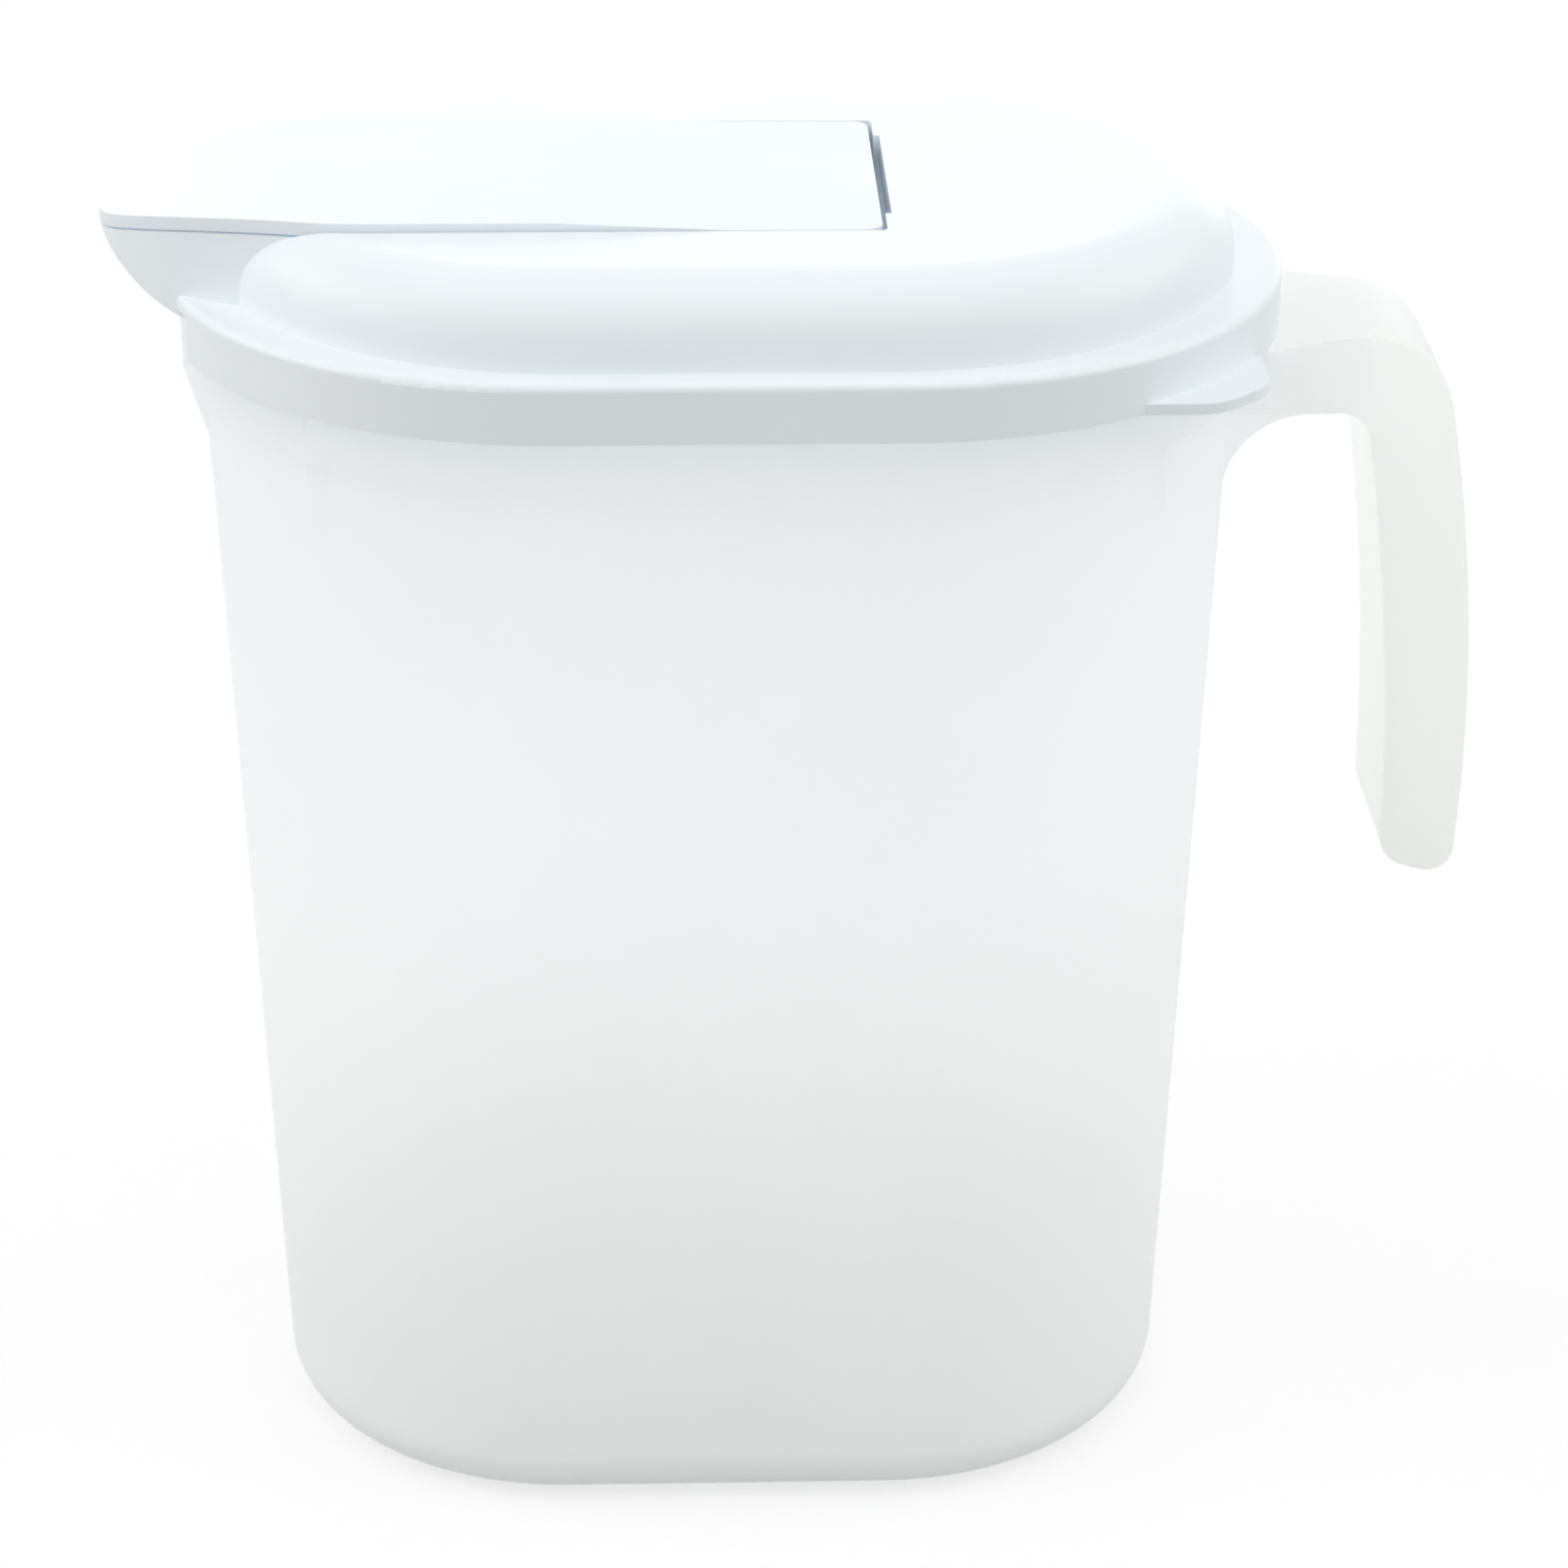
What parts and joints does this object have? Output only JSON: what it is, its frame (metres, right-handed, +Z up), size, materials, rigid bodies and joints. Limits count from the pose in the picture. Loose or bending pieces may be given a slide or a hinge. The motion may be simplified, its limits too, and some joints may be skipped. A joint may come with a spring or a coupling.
{
  "type": "plastic water jug",
  "caption": "Plastic fridge jug with a pouring spout and hook handle, a domed push-on lid and a hinged pour flap.",
  "frame": {"origin": "centre of the bounding box, on the surface the jug stands on", "axes": "+Z up, -X towards the spout, +X towards the handle, +Y to the far side"},
  "size_m": [0.2186, 0.1238, 0.217],
  "materials": {
    "frosted_body": "frosted translucent natural polypropylene",
    "white_lid": "satin white",
    "white_flap": "satin white"
  },
  "bodies": {
    "jug": {"jug": "frosted_body", "lid": "white_lid"},
    "flap": {"flap": "white_flap"}
  },
  "joints": [
    {"name": "flap_hinge", "type": "hinge", "parent": "jug", "child": "flap", "pos_m": [0.00945, 0, 0.2139], "axis": [0, 1, 0], "range_deg": [0, 110]}
  ]
}
